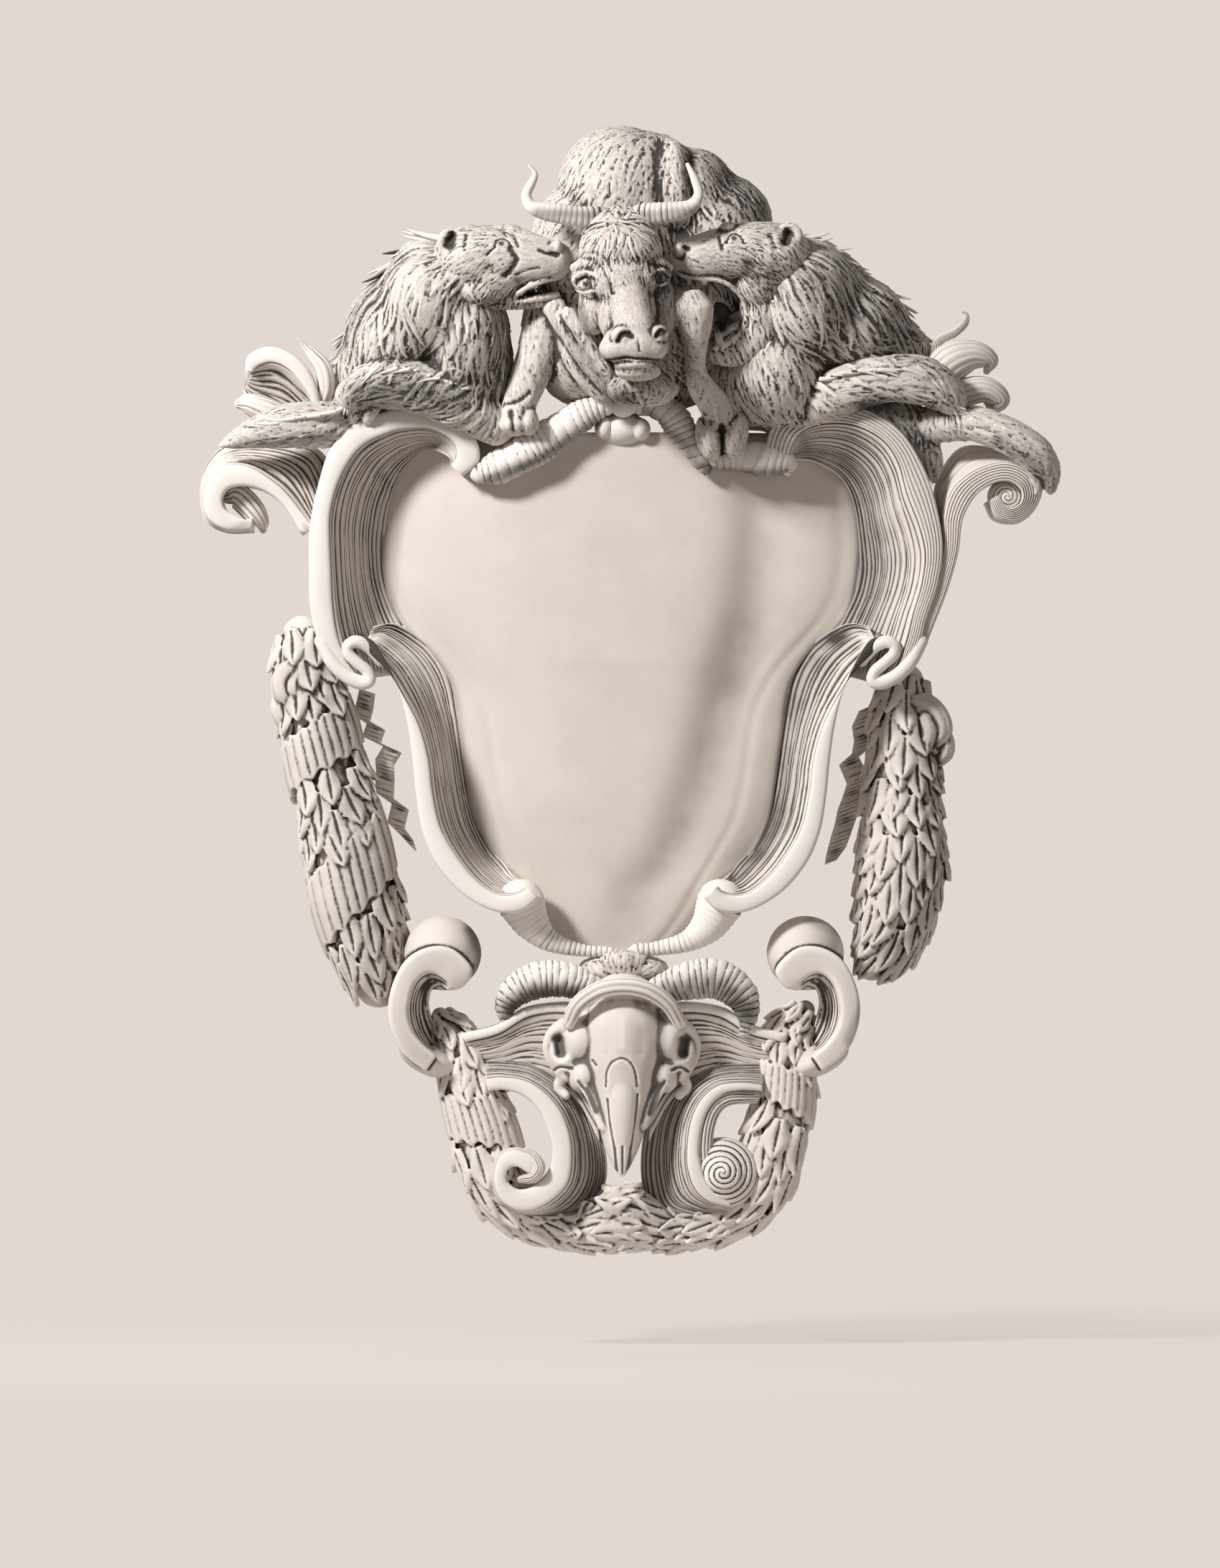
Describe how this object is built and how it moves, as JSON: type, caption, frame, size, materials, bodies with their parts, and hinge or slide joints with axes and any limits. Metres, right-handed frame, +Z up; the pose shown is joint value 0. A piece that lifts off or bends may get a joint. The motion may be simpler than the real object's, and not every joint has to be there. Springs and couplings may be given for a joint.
{
  "type": "carved cartouche",
  "caption": "Carved stone wall cartouche: a blank pillowed shield in a strapwork frame, with a bull and lions above, garlands at the sides and a ram's skull below.",
  "frame": {"origin": "on the flat back, at the wall, behind the middle of the shield's upper half", "axes": "+Z up along the height, +X to the viewer's right along the width, -Y out from the wall towards the viewer"},
  "size_m": [1.1975, 0.33, 1.574],
  "materials": {
    "stone": "pale fine-grained limestone, rubbed smooth on the rims and shield, tool-marked in the flutes and coats, with grime in the hollows"
  },
  "bodies": {
    "root": {"cartouche": "stone"}
  },
  "joints": []
}
